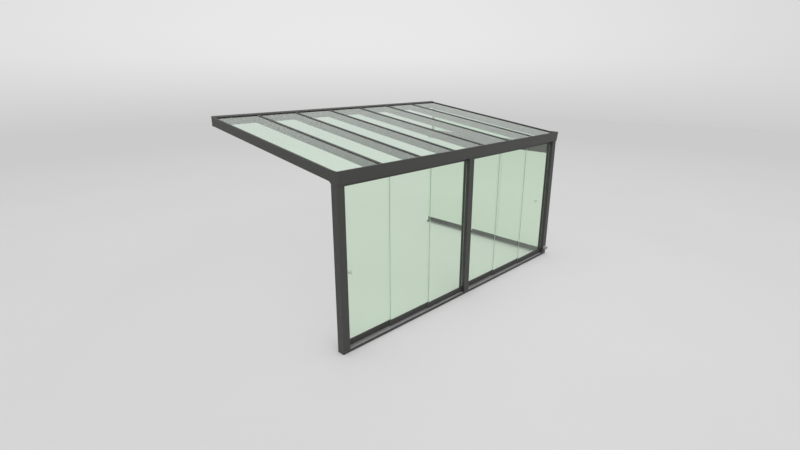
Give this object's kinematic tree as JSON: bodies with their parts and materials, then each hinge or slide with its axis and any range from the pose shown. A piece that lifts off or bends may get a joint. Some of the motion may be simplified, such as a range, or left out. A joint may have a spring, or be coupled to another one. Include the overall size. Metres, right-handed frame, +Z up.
{
  "type": "patio roof with sliding glass walls",
  "caption": "Lean-to patio roof of dark aluminium: a sloping glass roof on a wall plate and front posts, with sliding glass sheets closing the front and one side.",
  "frame": {"origin": "centre of the centre post's foot, on the ground", "axes": "+X along the gutter to the right as seen from the garden, +Y towards the house wall, +Z up"},
  "size_m": [5, 3.056, 2.7471],
  "materials": {
    "frame": "fine-textured anthracite powder coating",
    "rail": "anthracite powder coating, running floor worn to bare metal",
    "roof_glass": "clear laminated glass with a green edge tint",
    "wall_glass": "clear toughened glass with a green edge tint",
    "shoe": "anthracite powder coating",
    "knob": "satin anodised",
    "spout": "mill finish"
  },
  "bodies": {
    "frame": {"post_left": "frame", "post_center": "frame", "post_right": "frame", "gutter": "frame", "gutter_ends": "frame", "wall_plate": "frame", "wall_plate_ends": "frame", "end_rafter_left": "frame", "end_rafter_right": "frame", "rafter_1": "frame", "rafter_2": "frame", "rafter_3": "frame", "rafter_4": "frame", "rafter_5": "frame", "rafter_6": "frame", "rafter_covers": "frame", "roof_panes": "roof_glass", "drain_spout": "spout", "rail_front_left": "rail", "rail_front_right": "rail", "rail_side": "rail", "top_rails": "frame", "side_beam": "frame", "wedge_frame": "frame", "wedge_glass": "roof_glass", "fixed_sheets": "wall_glass", "fixed_shoes": "shoe"},
    "left_outer": {"sheet_left_outer": "wall_glass", "shoe_left_outer": "shoe", "knob_left": "knob"},
    "left_middle": {"sheet_left_middle": "wall_glass", "shoe_left_middle": "shoe"},
    "right_inner": {"sheet_right_inner": "wall_glass", "shoe_right_inner": "shoe", "knob_right": "knob"},
    "right_middle": {"sheet_right_middle": "wall_glass", "shoe_right_middle": "shoe"},
    "side_front": {"sheet_side_front": "wall_glass", "shoe_side_front": "shoe", "knob_side": "knob"},
    "side_middle": {"sheet_side_middle": "wall_glass", "shoe_side_middle": "shoe"}
  },
  "joints": [
    {"name": "slide_left_outer", "type": "slide", "parent": "frame", "child": "left_outer", "axis": [1, 0, 0], "range_m": [0, 1.532]},
    {"name": "slide_left_middle", "type": "slide", "parent": "frame", "child": "left_middle", "axis": [1, 0, 0], "range_m": [0, 0.766]},
    {"name": "slide_right_inner", "type": "slide", "parent": "frame", "child": "right_inner", "axis": [1, 0, 0], "range_m": [0, 1.532]},
    {"name": "slide_right_middle", "type": "slide", "parent": "frame", "child": "right_middle", "axis": [1, 0, 0], "range_m": [0, 0.766]},
    {"name": "slide_side_front", "type": "slide", "parent": "frame", "child": "side_front", "axis": [0, 1, 0], "range_m": [0, 1.902]},
    {"name": "slide_side_middle", "type": "slide", "parent": "frame", "child": "side_middle", "axis": [0, 1, 0], "range_m": [0, 0.951]}
  ]
}
